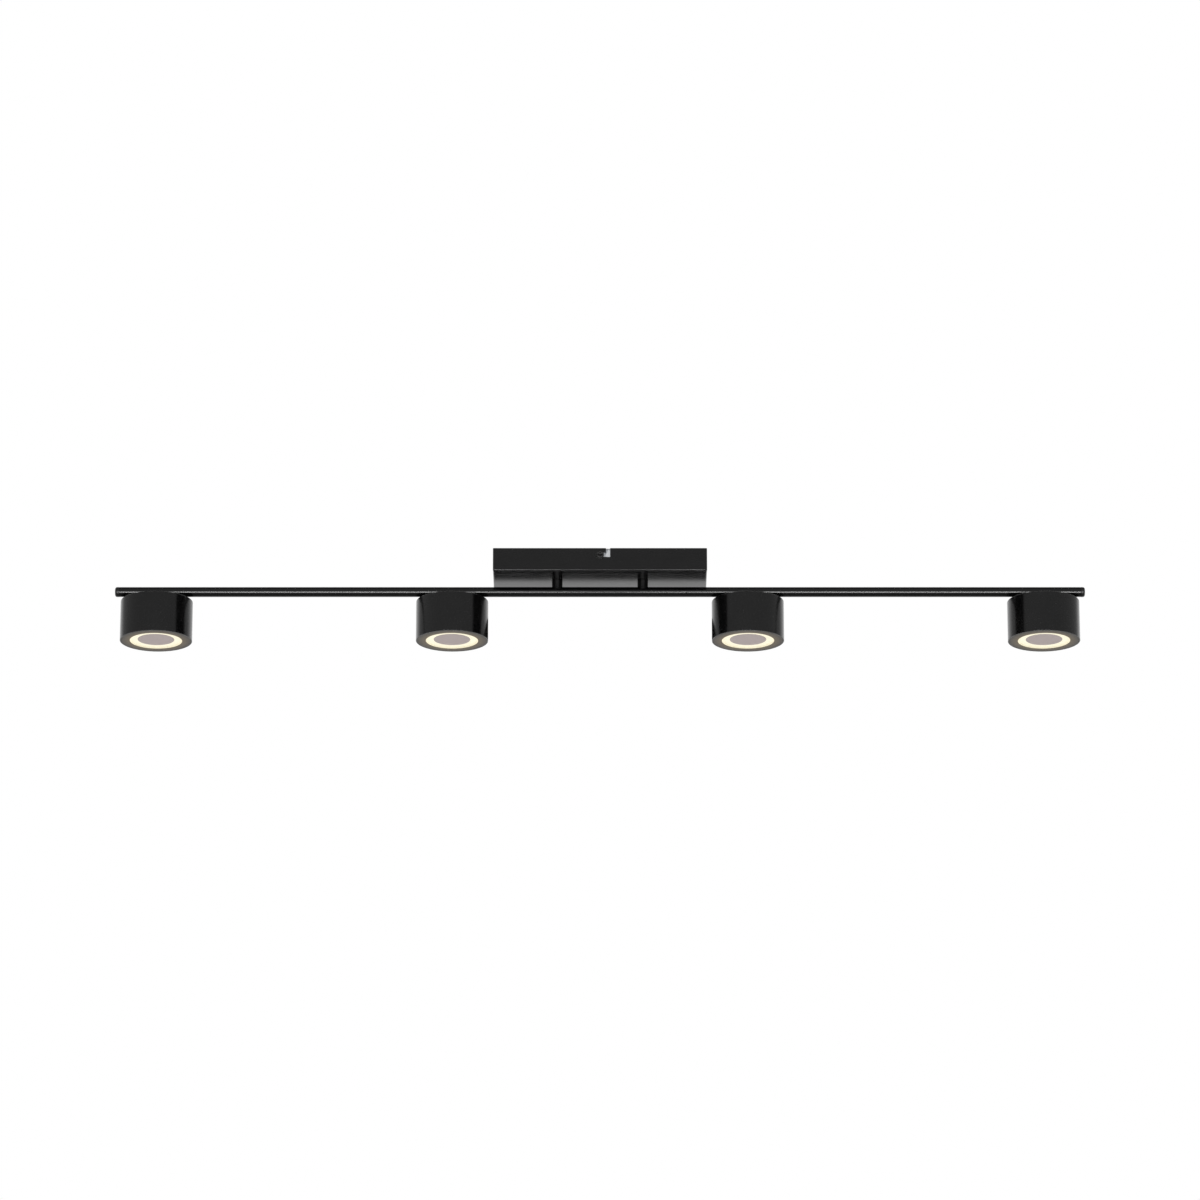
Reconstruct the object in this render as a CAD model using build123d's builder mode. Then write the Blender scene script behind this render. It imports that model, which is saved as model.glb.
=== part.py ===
# Ceiling spot rail: a canopy on a ceiling bracket, two posts, a round bar with end plugs, and four
# LED spots that swivel under the bar and tilt on a hinge hidden inside each head.
# Millimetres, +Z up, origin in the ceiling plane above the middle of the canopy, bar along X,
# front towards -Y.
import os
from math import radians, tan

from build123d import *

os.makedirs("parts", exist_ok=True)

# Driving dimensions
barLength = 970.0
barRadius = 5.0
barWall = 1.0
canopyLength = 213.5
canopyDepth = 66.0
canopyHeight = 23.6
canopyWall = 1.0
canopyBend = 1.3
postPitch = 85.5
postRadius = 5.25
postThread = 4.0
postBore = 2.5
postEnd = 2.2  # lower end of a post, above the bar's axis
postDrop = 11.9  # canopy underside to bar axis
headPitch = 295.4
headRadius = 36.0
headHeight = 41.0
headDrop = 10.2  # bar axis to the top face of a head
pivotDepth = 8.0  # top face of a head to its tilt axis

# Fits
runningGap = 0.05
pressGap = 0.02

# Canopy fixing
slotWidth = 4.3
slotShift = 8.05  # how far the canopy slides along X to lock
slotDrop = 7.1
coverScrewRadius = 2.0
coverHeadRadius = 4.0
coverHeadHeight = 2.4
earthScrewPlace = -38.0
earThickness = 1.5
earHalfWidth = 13.0
earDrop = 13.0
bracketThickness = 1.5
bracketHalfLength = 88.0
bracketHalfWidth = 13.0
ceilingSlotPitch = 130.0
ceilingSlotLength = 24.0
ceilingSlotWidth = 5.0
cableHoleRadius = 8.0

# Head details, heights above the head's lower face
rimWall = 0.8
rimStep = 2.5
sideWall = 1.8
topWall = 3.0
apertureRadius = 26.1
discRadius = 18.2
lensRecess = 1.5
discRecess = 1.3
boardBottom = 14.0
boardThickness = 2.0
boardRadius = 33.0
bossCircle = 29.8
bossRadius = 3.2
screwRadius = 1.5
screwHeadRadius = 2.75
screwHeadHeight = 1.8
screwReach = 4.2

# Stem and hinge, heights above the tilt axis unless they say otherwise
stemRadius = 2.5
stemBore = 1.6
stemTop = -0.7  # from the bar axis
bushTop = -2.0  # from the bar axis
bushBottom = -5.6  # from the bar axis
collarRadius = 3.5
bushRadius = 3.2
shoulderRadius = 3.0
shoulderThickness = 0.5
stemSlotLength = 19.6
yokeHalfWidth = 6.5
yokeThickness = 1.2
yokeTop = 3.4
earRadius = 3.0
lugInner = 6.8
lugThickness = 1.5
lugRadius = 4.0
hingePlate = 1.5
hingeScrewPitch = 30.0

# Wires
harnessRadius = 0.6
mainsRadius = 0.9
wireLevel = 2.3  # harness above the bar axis
tightBend = 1.9  # of the harness, inside the bar
wireEnd = 0.4  # from a wire to the face that it points at

barAxis = -(canopyHeight + postDrop)
headTop = barAxis - headDrop
headBottom = headTop - headHeight
tiltAxis = headTop - pivotDepth
canopyFloor = -canopyHeight + canopyWall
headPlaces = [headPitch * (n - 1.5) for n in range(4)]
postPlaces = {"left": -postPitch / 2, "right": postPitch / 2}


def save(part, name):
    part.label = name
    export_step(part, f"parts/{name}.step")


def level(z, x=0.0):
    """The horizontal plane at height z, with its centre at x on the bar's line."""
    return Plane(origin=(x, 0, z))


def across(x):
    """The plane square to the bar at x, with Y to the right and Z up."""
    return Plane(origin=(x, 0, 0), x_dir=(0, 1, 0), z_dir=(1, 0, 0))


def bend_radii(points, roomiest):
    """For each inner point of a wire's route, the largest arc that its two runs and its room allow."""
    radii = []
    for before, at, after in zip(points, points[1:], points[2:]):
        arriving = Vector(at) - Vector(before)
        leaving = Vector(after) - Vector(at)
        half_turn = radians(arriving.get_angle(leaving)) / 2
        radii.append(min(roomiest, 0.45 * min(arriving.length, leaving.length) / tan(half_turn)))
    return radii


def wire_group(routes, radius, roomiest=60.0):
    """One round wire along each route, as separate solids of one part."""
    with BuildPart() as wires:
        for points in routes:
            with BuildLine() as route:
                FilletPolyline(*points, radius=bend_radii(points, roomiest))
            with BuildSketch(Plane(origin=route.line @ 0, z_dir=route.line % 0)):
                Circle(radius)
            sweep(path=route.line)
    return wires


# Canopy and ceiling bracket


def canopy_cover():
    """Folded sheet box, open upwards, with a locking slot in the front and rear walls."""
    with BuildPart() as cover:
        with BuildSketch(level(-canopyHeight)):
            Rectangle(canopyLength, canopyDepth)
        extrude(amount=canopyHeight)
        fillet(cover.edges().filter_by(Axis.Z), canopyBend)
        fillet(cover.faces().sort_by(Axis.Z)[0].edges(), canopyBend)
        offset(amount=-canopyWall, openings=cover.faces().sort_by(Axis.Z)[-1])
        with BuildSketch(Plane.XZ) as lock:
            with Locations((slotShift, -slotDrop / 2)):
                Rectangle(slotWidth, slotDrop)
            with Locations((slotShift / 2, -slotDrop)):
                SlotCenterToCenter(slotShift, slotWidth)
            with Locations((slotShift, -slotDrop)):
                Rectangle(slotWidth, slotWidth)
        extrude(amount=canopyDepth, both=True, mode=Mode.SUBTRACT)
        with BuildSketch(level(-canopyHeight)):
            with Locations([(x, 0) for x in postPlaces.values()]):
                Circle(postThread + runningGap)
        extrude(amount=canopyHeight / 2, mode=Mode.SUBTRACT)
    return cover


def ceiling_bracket():
    """Flat strip with a cross piece whose ends fold down behind the canopy's long walls."""
    reach = canopyDepth / 2 - canopyWall - 0.2
    with BuildPart() as bracket:
        with BuildSketch(level(-bracketThickness)):
            RectangleRounded(2 * bracketHalfLength, 2 * bracketHalfWidth, 3)
            Rectangle(2 * earHalfWidth, 2 * reach)
            Circle(cableHoleRadius, mode=Mode.SUBTRACT)
            with GridLocations(ceilingSlotPitch, 0, 2, 1):
                SlotOverall(ceilingSlotLength, ceilingSlotWidth, mode=Mode.SUBTRACT)
            with Locations((earthScrewPlace, 0)):
                Circle(coverScrewRadius + pressGap, mode=Mode.SUBTRACT)
        extrude(amount=bracketThickness)
        for side in (-1, 1):
            with BuildSketch(level(-earDrop)):
                with Locations((0, side * (reach - earThickness / 2))):
                    Rectangle(2 * earHalfWidth, earThickness)
            extrude(amount=earDrop)
        folds = bracket.edges().filter_by(Axis.X).group_by(Axis.Z)[-1].sort_by(Axis.Y)
        fillet([folds[0], folds[-1]], 1.2)
        with BuildSketch(Plane.XZ):
            with Locations((0, -slotDrop)):
                Circle(coverScrewRadius + pressGap)
        extrude(amount=canopyDepth, both=True, mode=Mode.SUBTRACT)
    return bracket


def cover_screws():
    """Two pan head screws that clamp the canopy's long walls to the bracket's ears."""
    with BuildPart() as screws:
        for side in (-1, 1):
            outward = Plane(origin=(0, side * canopyDepth / 2, -slotDrop), z_dir=(0, side, 0))
            with BuildSketch(outward):
                Circle(coverHeadRadius)
            extrude(amount=coverHeadHeight, taper=6)
            with BuildSketch(outward):
                Circle(coverScrewRadius)
            extrude(amount=-6)
        heads = screws.faces().filter_by(Axis.Y).sort_by(Axis.Y)
        for face in (heads[0], heads[-1]):
            fillet(face.edges(), 0.8)
        for side in (-1, 1):
            reach = side * (canopyDepth / 2 + coverHeadHeight)
            crown = Plane(origin=(0, reach, -slotDrop), z_dir=(0, side, 0))
            with BuildSketch(crown):
                Rectangle(4.2, 0.9)
                Rectangle(0.9, 4.2)
            extrude(amount=-1.3, taper=12, mode=Mode.SUBTRACT)
    return screws


def earth_screw():
    """Earthing screw with a cup washer, under the bracket."""
    with BuildPart() as screw:
        with BuildSketch(level(-bracketThickness, earthScrewPlace)):
            Circle(coverScrewRadius)
        extrude(amount=bracketThickness)
        with BuildSketch(level(-bracketThickness, earthScrewPlace)):
            Circle(4.5)
        extrude(amount=-1.0)
        with BuildSketch(level(-bracketThickness - 1.0, earthScrewPlace)):
            Circle(3.5)
        extrude(amount=-2.2)
        fillet(screw.faces().sort_by(Axis.Z)[0].edges(), 0.7)
        with BuildSketch(level(-bracketThickness - 3.2, earthScrewPlace)):
            Rectangle(5.0, 0.9)
        extrude(amount=1.2, mode=Mode.SUBTRACT)
    return screw


# Terminal block and driver, which stand on the canopy's floor
blockX = -86.0
blockHeight = 13.5
blockPitch = 9.4
driverX = 79.0
driverLength = 50.0
driverDepth = 42.0
driverHeight = 13.4
driverLid = 2.0
driverWall = 1.5


def terminal_block():
    """Three-pole screw terminal: a raised tower for each pole on a common base."""
    with BuildPart() as block:
        with BuildSketch(level(canopyFloor, blockX)):
            Rectangle(20, 3 * blockPitch)
        extrude(amount=7)
        with BuildSketch(level(canopyFloor, blockX)):
            with GridLocations(0, blockPitch, 1, 3):
                Rectangle(17, blockPitch - 2)
        extrude(amount=blockHeight)
        fillet(block.faces().sort_by(Axis.Z)[-3:].edges(), 0.8)
        with BuildSketch(level(canopyFloor + blockHeight, blockX)):
            with GridLocations(9, blockPitch, 2, 3):
                Circle(1.9)
        extrude(amount=-4, mode=Mode.SUBTRACT)
        with BuildSketch(across(blockX)):
            with Locations([(blockPitch * n, canopyFloor + 5) for n in (-1, 0, 1)]):
                Circle(1.9)
        extrude(amount=20, both=True, mode=Mode.SUBTRACT)
    return block


def driver_case():
    """Open box of the LED driver, with its lower half filled with potting."""
    with BuildPart() as case:
        with BuildSketch(level(canopyFloor, driverX)):
            RectangleRounded(driverLength, driverDepth, 2)
        extrude(amount=driverHeight - driverLid)
        with BuildSketch(level(canopyFloor + 6, driverX)):
            RectangleRounded(driverLength - 2 * driverWall, driverDepth - 2 * driverWall, 1)
        extrude(amount=driverHeight, mode=Mode.SUBTRACT)
    return case


def driver_lid():
    """Lid of the driver, with a lip that drops inside the case."""
    seat = canopyFloor + driverHeight - driverLid
    with BuildPart() as lid:
        with BuildSketch(level(seat, driverX)):
            RectangleRounded(driverLength, driverDepth, 2)
        extrude(amount=driverLid)
        fillet(lid.faces().sort_by(Axis.Z)[-1].edges(), 0.8)
        with BuildSketch(level(seat, driverX)):
            RectangleRounded(driverLength - 2 * driverWall - 0.2, driverDepth - 2 * driverWall - 0.2, 1)
            offset(amount=-1.2, mode=Mode.SUBTRACT)
        extrude(amount=-1.5)
    return lid


# Posts and bar


def post(x):
    """Hollow post, coped over the bar, with a threaded end through the canopy's floor."""
    with BuildPart() as tube:
        with BuildSketch(level(barAxis + postEnd, x)):
            Circle(postRadius)
        extrude(amount=postDrop - postEnd)
        with BuildSketch(level(-canopyHeight, x)):
            Circle(postThread)
        extrude(amount=9)
        chamfer(tube.faces().sort_by(Axis.Z)[-1].edges(), 0.5)
        with BuildSketch(level(barAxis, x)):
            Circle(postBore)
        extrude(amount=canopyHeight + postDrop, mode=Mode.SUBTRACT)
        with BuildSketch(across(x)):
            with Locations((0, barAxis)):
                Circle(barRadius + pressGap)
        extrude(amount=10, both=True, mode=Mode.SUBTRACT)
    return tube


def post_nuts():
    """Flanged hexagon nuts that pull the posts against the canopy."""
    with BuildPart() as nuts:
        for x in postPlaces.values():
            with BuildSketch(level(canopyFloor, x)):
                Circle(8.5)
            extrude(amount=1.2)
            with BuildSketch(level(canopyFloor + 1.2, x)):
                RegularPolygon(6.5, 6, major_radius=False)
            extrude(amount=4)
            with BuildSketch(level(canopyFloor, x)):
                Circle(postThread + pressGap)
            extrude(amount=6, mode=Mode.SUBTRACT)
    return nuts


plugHead = 4.0
plugGap = 0.1
tubeHalf = barLength / 2 - plugHead - plugGap


def bar_tube():
    """Round tube with a hole on top under each post and one below for each head's bush."""
    with BuildPart() as tube:
        with BuildSketch(across(-tubeHalf)):
            with Locations((0, barAxis)):
                Circle(barRadius)
        extrude(amount=2 * tubeHalf)
        chamfer(tube.edges().filter_by(GeomType.CIRCLE), 0.2)
        with BuildSketch(across(-tubeHalf)):
            with Locations((0, barAxis)):
                Circle(barRadius - barWall)
        extrude(amount=2 * tubeHalf, mode=Mode.SUBTRACT)
        with BuildSketch(level(barAxis)):
            with Locations([(x, 0) for x in postPlaces.values()]):
                Circle(postBore)
        extrude(amount=2 * barRadius, mode=Mode.SUBTRACT)
        with BuildSketch(level(barAxis)):
            with Locations([(x, 0) for x in headPlaces]):
                Circle(bushRadius + pressGap)
        extrude(amount=-2 * barRadius, mode=Mode.SUBTRACT)
    return tube


def end_plug(side):
    """Domed plug with a stub that presses into the end of the bar."""
    face = side * (barLength / 2 - plugHead)
    outward = Plane(origin=(face, 0, barAxis), z_dir=(side, 0, 0))
    with BuildPart() as plug:
        with BuildSketch(outward):
            Circle(barRadius)
        extrude(amount=plugHead)
        ends = plug.faces().filter_by(Axis.X).sort_by(Axis.X)
        outer, inner = (ends[-1], ends[0]) if side > 0 else (ends[0], ends[-1])
        rim = outer.edges()
        shoulder = inner.edges()
        fillet(rim, 2.4)
        chamfer(shoulder, 0.2)
        with BuildSketch(outward):
            Circle(barRadius - barWall - pressGap)
        extrude(amount=-9)
    return plug


def swivel_bushes():
    """Bushes in the underside of the bar, each with a collar shaped to the bar."""
    with BuildPart() as bushes:
        for x in headPlaces:
            with BuildSketch(level(barAxis + bushBottom, x)):
                Circle(collarRadius)
            extrude(amount=2.4)
        with BuildSketch(across(-barLength / 2)):
            with Locations((0, barAxis)):
                Circle(barRadius + pressGap)
        extrude(amount=barLength, mode=Mode.SUBTRACT)
        for x in headPlaces:
            with BuildSketch(level(barAxis + bushBottom, x)):
                Circle(bushRadius)
            extrude(amount=bushTop - bushBottom)
        for x in headPlaces:
            with BuildSketch(level(barAxis + bushBottom, x)):
                Circle(stemRadius + runningGap)
            extrude(amount=bushTop - bushBottom, mode=Mode.SUBTRACT)
    return bushes


# Spot heads


def radial(x):
    """The vertical plane through a head's axis, with the radius to the right and height up."""
    return Plane(origin=(x, 0, headBottom), x_dir=(1, 0, 0), z_dir=(0, -1, 0))


def head_axis(x):
    return Axis((x, 0, headBottom), (0, 0, 1))


def turned(x, *outlines):
    """A turned piece of a head, from closed outlines of radius and height above its lower face."""
    with BuildPart() as piece:
        with BuildSketch(radial(x)):
            for outline in outlines:
                with BuildLine():
                    Polyline(*outline, close=True)
                make_face()
        revolve(axis=head_axis(x))
    return piece


def head_housing(x):
    """Cup open downwards, with a slot in its top for the stem and bosses for the LED board."""
    bore = headRadius - sideWall
    with BuildPart() as housing:
        with BuildSketch(level(headBottom, x)):
            Circle(headRadius)
        extrude(amount=headHeight)
        fillet(housing.faces().sort_by(Axis.Z)[-1].edges(), 0.8)
        with BuildSketch(level(headBottom, x)):
            Circle(headRadius - rimWall)
        extrude(amount=rimStep, mode=Mode.SUBTRACT)
        with BuildSketch(level(headBottom + rimStep, x)):
            Circle(bore)
        extrude(amount=headHeight - rimStep - topWall, mode=Mode.SUBTRACT)
        with BuildSketch(level(headBottom + boardBottom + boardThickness, x)):
            with PolarLocations(bossCircle, 3, start_angle=90):
                Circle(bossRadius)
                with Locations((bossRadius, 0)):
                    Rectangle(2 * bossRadius, 2 * bossRadius)
            Circle(bore + 0.5, mode=Mode.INTERSECT)
        extrude(amount=headHeight - topWall - boardBottom - boardThickness + 0.5)
        with BuildSketch(level(headBottom + boardBottom + boardThickness, x)):
            with PolarLocations(bossCircle, 3, start_angle=90):
                Circle(screwRadius + pressGap)
        extrude(amount=5, mode=Mode.SUBTRACT)
        with BuildSketch(level(headTop - topWall, x)):
            with GridLocations(hingeScrewPitch, 0, 2, 1):
                Circle(screwRadius + pressGap)
        extrude(amount=topWall - 0.25, mode=Mode.SUBTRACT)
        with BuildSketch(level(headTop - topWall, x)):
            SlotOverall(stemSlotLength, 2 * shoulderRadius + 0.6, rotation=90)
        extrude(amount=topWall, mode=Mode.SUBTRACT)
    return housing


def head_bezel(x):
    """Front ring with a skirt that grips the bore of the housing."""
    outer = headRadius - rimWall - runningGap
    skirt = headRadius - sideWall - runningGap
    return turned(
        x,
        [
            (apertureRadius + 0.05, 0.3),
            (apertureRadius + 0.35, 0),
            (outer - 0.3, 0),
            (outer, 0.3),
            (outer, rimStep - 0.05),
            (skirt, rimStep - 0.05),
            (skirt, 7),
            (skirt - 1.3, 7),
            (skirt - 1.3, 2.4),
            (apertureRadius + 0.05, 2.4),
        ],
    )


def head_diffuser(x):
    """Opal lens: a plate with a pocket for the centre disc, a lit rim and a flange behind the bezel."""
    return turned(
        x,
        [
            (0, lensRecess + 0.6),
            (discRadius + runningGap, lensRecess + 0.6),
            (discRadius + runningGap, lensRecess),
            (apertureRadius - 0.8, lensRecess),
            (apertureRadius - 0.8, 0.35),
            (apertureRadius - 0.6, 0.15),
            (apertureRadius - 0.2, 0.15),
            (apertureRadius, 0.35),
            (apertureRadius, 2.45),
            (31.5, 2.45),
            (31.5, 3.5),
            (0, 3.5),
        ],
    )


def centre_disc(x):
    """Satin disc in the middle of the lens, standing a little proud of it."""
    return turned(
        x,
        [
            (0, discRecess),
            (discRadius - 0.2, discRecess),
            (discRadius, discRecess + 0.2),
            (discRadius, lensRecess + 0.6),
            (0, lensRecess + 0.6),
        ],
    )


def led_board(x):
    """Metal-core board with a ring of LED chips below and the lead's connector above."""
    with BuildPart() as board:
        with BuildSketch(level(headBottom + boardBottom, x)):
            Circle(boardRadius)
            with PolarLocations(bossCircle, 3, start_angle=90):
                Circle(screwRadius + 0.2, mode=Mode.SUBTRACT)
        extrude(amount=boardThickness)
        with BuildSketch(level(headBottom + boardBottom, x)):
            with PolarLocations(22, 18):
                Rectangle(3.0, 2.8)
        extrude(amount=-0.7)
        with BuildSketch(level(headBottom + boardBottom + boardThickness, x)):
            Rectangle(9, 6)
        extrude(amount=3)
    return board


def hinge_bracket(x):
    """Pressed plate under the head's top, with two lugs folded down beside the yoke."""
    lugOuter = lugInner + lugThickness
    with BuildPart() as bracket:
        with BuildSketch(level(headTop - topWall - hingePlate, x)):
            RectangleRounded(38, 21, 3)
            with GridLocations(hingeScrewPitch, 0, 2, 1):
                Circle(screwRadius + 0.2, mode=Mode.SUBTRACT)
            Rectangle(2 * lugInner, 14.4, mode=Mode.SUBTRACT)
        extrude(amount=hingePlate)
        for side in (-1, 1):
            with BuildSketch(across(x + side * lugInner if side > 0 else x - lugOuter)):
                with Locations((0, tiltAxis)):
                    Circle(lugRadius)
                with Locations((0, (tiltAxis + headTop - topWall) / 2)):
                    Rectangle(2 * lugRadius, headTop - topWall - tiltAxis)
            extrude(amount=lugThickness)
        with BuildSketch(across(x)):
            with Locations((0, tiltAxis)):
                Circle(screwRadius + pressGap)
        extrude(amount=20, both=True, mode=Mode.SUBTRACT)
    return bracket


def tilt_pins(x):
    """Shouldered hinge screws through the lugs into the yoke's ears."""
    lugOuter = lugInner + lugThickness
    with BuildPart() as pins:
        for side in (-1, 1):
            seat = Plane(origin=(x + side * lugOuter, 0, tiltAxis), z_dir=(side, 0, 0))
            with BuildSketch(seat):
                Circle(screwHeadRadius)
            extrude(amount=screwHeadHeight)
            with BuildSketch(seat):
                Circle(screwRadius)
            extrude(amount=-(lugOuter - 4.9))
    return pins


def head_screws(x):
    """Three screws that hold the LED board and two that hold the hinge bracket, all alike."""
    seats = [(headBottom + boardBottom, PolarLocations(bossCircle, 3, start_angle=90))]
    seats.append((headTop - topWall - hingePlate, GridLocations(hingeScrewPitch, 0, 2, 1)))
    with BuildPart() as screws:
        for height, places in seats:
            with BuildSketch(level(height, x)):
                with places:
                    Circle(screwHeadRadius)
            extrude(amount=-screwHeadHeight, taper=8)
            with BuildSketch(level(height, x)):
                with places:
                    Circle(screwRadius)
            extrude(amount=screwReach)
    return screws


def stem(x):
    """Hollow swivel stem with a clip groove inside the bar and a forked yoke inside the head."""
    with BuildPart() as piece:
        with BuildSketch(level(tiltAxis + yokeTop - yokeThickness, x)):
            Circle(stemRadius)
        extrude(amount=barAxis + stemTop - tiltAxis - yokeTop + yokeThickness)
        with BuildSketch(level(barAxis + bushBottom - 0.05, x)):
            Circle(shoulderRadius)
        extrude(amount=-shoulderThickness)
        with BuildSketch(level(tiltAxis + yokeTop - yokeThickness, x)):
            Rectangle(2 * yokeHalfWidth, 2 * earRadius)
        extrude(amount=yokeThickness)
        for start in (-yokeHalfWidth, yokeHalfWidth - yokeThickness):
            with BuildSketch(across(x + start)):
                with Locations((0, tiltAxis)):
                    Circle(earRadius)
                with Locations((0, tiltAxis + yokeTop / 2)):
                    Rectangle(2 * earRadius, yokeTop)
            extrude(amount=yokeThickness)
        with BuildSketch(across(x)):
            with Locations((0, tiltAxis)):
                Circle(screwRadius + runningGap)
        extrude(amount=20, both=True, mode=Mode.SUBTRACT)
        with BuildSketch(level(barAxis + bushTop + 0.02, x)):
            Circle(stemRadius + 1)
            Circle(stemRadius - 0.5, mode=Mode.SUBTRACT)
        extrude(amount=0.56, mode=Mode.SUBTRACT)
        with BuildSketch(level(tiltAxis, x)):
            Circle(stemBore)
        extrude(amount=barAxis - tiltAxis, mode=Mode.SUBTRACT)
    return piece


def stem_clip(x):
    """Open spring ring in the stem's groove, resting on the bush inside the bar."""
    with BuildPart() as clip:
        with BuildSketch(level(barAxis + bushTop + 0.05, x)):
            Circle(3.1)
            Circle(stemRadius - 0.5 + runningGap, mode=Mode.SUBTRACT)
            with Locations((0, 3)):
                Rectangle(1.6, 4, mode=Mode.SUBTRACT)
        extrude(amount=0.5)
    return clip


def head_lead(x):
    """Two wires from the top of the stem, through its bore, to just above the board's connector."""
    top = barAxis + stemTop - 0.2
    end = tiltAxis - 13.0
    routes = []
    for side in (-1, 1):
        routes.append(
            [
                (x + side * 0.75, 0, top),
                (x + side * 0.75, 0, tiltAxis + 1),
                (x + side * 2.2, 0.4, tiltAxis - 5),
                (x + side * 2.4, 0, end),
            ]
        )
    return wire_group(routes, harnessRadius)


# Wiring inside the bar and the canopy


def harness():
    """The LED circuit: driver, four heads in series, and back to the driver."""
    top = barAxis + wireLevel
    drop = barAxis - 0.2
    left, right = postPlaces["left"], postPlaces["right"]
    inlet = driverX - driverLength / 2 - wireEnd
    front, rear = -0.8, 0.8  # lanes inside the bar
    one, two, three, four = headPlaces
    apart = 0.8  # of the wires that come and go at one head, from its axis
    supply = [
        (inlet, -5, canopyFloor + 8),
        (22, -8, canopyFloor + 4),
        (-8, -7, canopyFloor + 5),
        (-30, -2.5, canopyFloor + 13),
        (left, front, canopyFloor + 13.6),
        (left, front, top),
        (one, front, top),
        (one, front, drop),
    ]
    back = [
        (inlet, 3, canopyFloor + 8),
        (right + 6, front, canopyFloor + 13.4),
        (right, front, canopyFloor + 13.4),
        (right, front, top),
        (four, front, top),
        (four, front, drop),
    ]
    links = []
    for start, end in ((one, two - apart), (two + apart, three - apart), (three + apart, four)):
        links.append([(start, rear, drop), (start, rear, top), (end, rear, top), (end, rear, drop)])
    return wire_group([supply, back, *links], harnessRadius, roomiest=tightBend)


def mains_wires():
    """Live and neutral from the terminal block to the driver, and earth to the bracket."""
    start = blockX + 4
    height = canopyFloor + 5
    inlet = driverX - driverLength / 2 - wireEnd
    live = [
        (start, -blockPitch, height),
        (-62, -11, height),
        (-20, -14, height - 2.5),
        (25, -13, height - 2.5),
        (inlet, -12, height + 2),
    ]
    neutral = [
        (start, blockPitch, height),
        (-62, 11, height),
        (-20, 14.5, height - 2.5),
        (25, 13.5, height - 2.5),
        (inlet, 11, height + 2),
    ]
    earth = [
        (start, 0, height),
        (-66, 1, height + 1),
        (-54, 2.5, height + 7),
        (-43.5, 1, -bracketThickness - 1.6),
    ]
    return wire_group([live, neutral, earth], mainsRadius)


frameParts = {
    "canopy_cover": canopy_cover,
    "ceiling_bracket": ceiling_bracket,
    "cover_screws": cover_screws,
    "earth_screw": earth_screw,
    "terminal_block": terminal_block,
    "driver_case": driver_case,
    "driver_lid": driver_lid,
    "post_nuts": post_nuts,
    "bar_tube": bar_tube,
    "swivel_bushes": swivel_bushes,
    "harness_wires": harness,
    "mains_wires": mains_wires,
}
headParts = {
    "housing": head_housing,
    "bezel": head_bezel,
    "diffuser": head_diffuser,
    "centre_disc": centre_disc,
    "led_board": led_board,
    "hinge_bracket": hinge_bracket,
    "tilt_pins": tilt_pins,
    "screws": head_screws,
}
stemParts = {"yoke": stem, "clip": stem_clip, "lead": head_lead}

for name, make in frameParts.items():
    save(make().part, name)
for side, x in postPlaces.items():
    save(post(x).part, f"post_{side}")
for side, sign in (("left", -1), ("right", 1)):
    save(end_plug(sign).part, f"end_plug_{side}")
for number, x in enumerate(headPlaces, start=1):
    for name, make in headParts.items():
        save(make(x).part, f"head_{number}_{name}")
    for name, make in stemParts.items():
        save(make(x).part, f"stem_{number}_{name}")
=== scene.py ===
# Looks of a ceiling spot rail: a black canopy, two posts, a round bar and four LED spots.
# Everything is in metres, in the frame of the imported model: bar along X, front towards -Y.
from math import cos, pi, radians, sin

import bmesh
import bpy
from mathutils import Matrix, Vector


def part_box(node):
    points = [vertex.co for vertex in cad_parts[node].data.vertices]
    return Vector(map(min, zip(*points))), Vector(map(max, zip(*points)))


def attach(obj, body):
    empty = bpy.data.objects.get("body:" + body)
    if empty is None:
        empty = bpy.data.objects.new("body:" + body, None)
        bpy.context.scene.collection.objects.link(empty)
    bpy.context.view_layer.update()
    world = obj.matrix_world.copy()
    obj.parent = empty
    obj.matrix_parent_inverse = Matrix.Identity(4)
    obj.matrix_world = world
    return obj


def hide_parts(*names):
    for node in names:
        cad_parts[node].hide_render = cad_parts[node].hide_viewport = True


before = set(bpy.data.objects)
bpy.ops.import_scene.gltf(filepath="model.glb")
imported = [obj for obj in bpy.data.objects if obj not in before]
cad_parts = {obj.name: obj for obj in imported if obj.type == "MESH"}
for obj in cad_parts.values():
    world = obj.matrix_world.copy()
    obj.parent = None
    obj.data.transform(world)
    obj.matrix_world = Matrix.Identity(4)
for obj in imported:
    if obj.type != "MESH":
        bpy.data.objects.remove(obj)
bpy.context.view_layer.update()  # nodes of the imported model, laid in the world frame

mm = 0.001
headNumbers = (1, 2, 3, 4)


def centreOf(node):
    low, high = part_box(node)
    return (low + high) / 2


def sizeOf(node):
    low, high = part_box(node)
    return high - low


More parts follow.
